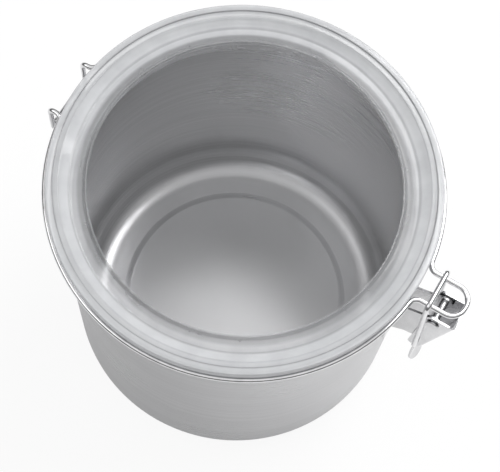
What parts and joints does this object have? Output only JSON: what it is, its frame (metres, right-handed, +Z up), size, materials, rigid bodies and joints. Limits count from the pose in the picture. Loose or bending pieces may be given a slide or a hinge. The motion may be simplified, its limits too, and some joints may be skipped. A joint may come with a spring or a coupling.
{
  "type": "storage canister",
  "caption": "Round brushed steel storage canister with a clear lid that hinges at the back and a wire bail latch with a pressed lever at the front.",
  "frame": {"origin": "middle of the flat face that the can stands on", "axes": "+Z up, -Y towards the latch, +Y towards the hinge, hinge axis along X"},
  "size_m": [0.206, 0.2381, 0.188],
  "materials": {
    "brushed_steel": "brushed round the can",
    "polished_steel": "polished",
    "clear_lid": "clear moulded acrylic",
    "silicone": "milky silicone",
    "chrome_wire": "bright plated",
    "chrome_press": "bright plated"
  },
  "bodies": {
    "can": {"can_body": "brushed_steel", "hinge_bracket": "polished_steel", "latch_bracket": "polished_steel", "lever_pin": "polished_steel"},
    "lid": {"lid": "clear_lid", "gasket": "silicone", "lid_wire": "chrome_wire"},
    "lever": {"lever": "chrome_press"},
    "bail": {"bail": "chrome_wire"}
  },
  "joints": [
    {"name": "lid_hinge", "type": "hinge", "parent": "can", "child": "lid", "pos_m": [0, 0.108, 0.1581], "axis": [-1, 0, 0], "range_deg": [0, 105]},
    {"name": "lever_pivot", "type": "hinge", "parent": "can", "child": "lever", "pos_m": [0, -0.116, 0.159], "axis": [-1, 0, 0], "range_deg": [0, 120]},
    {"name": "bail_swing", "type": "hinge", "parent": "lever", "child": "bail", "pos_m": [0, -0.113, 0.124], "axis": [-1, 0, 0], "range_deg": [-126, 0]}
  ],
  "couplings": [
    {"joint": "bail_swing", "follows": "lever_pivot", "ratio": -1.05}
  ]
}
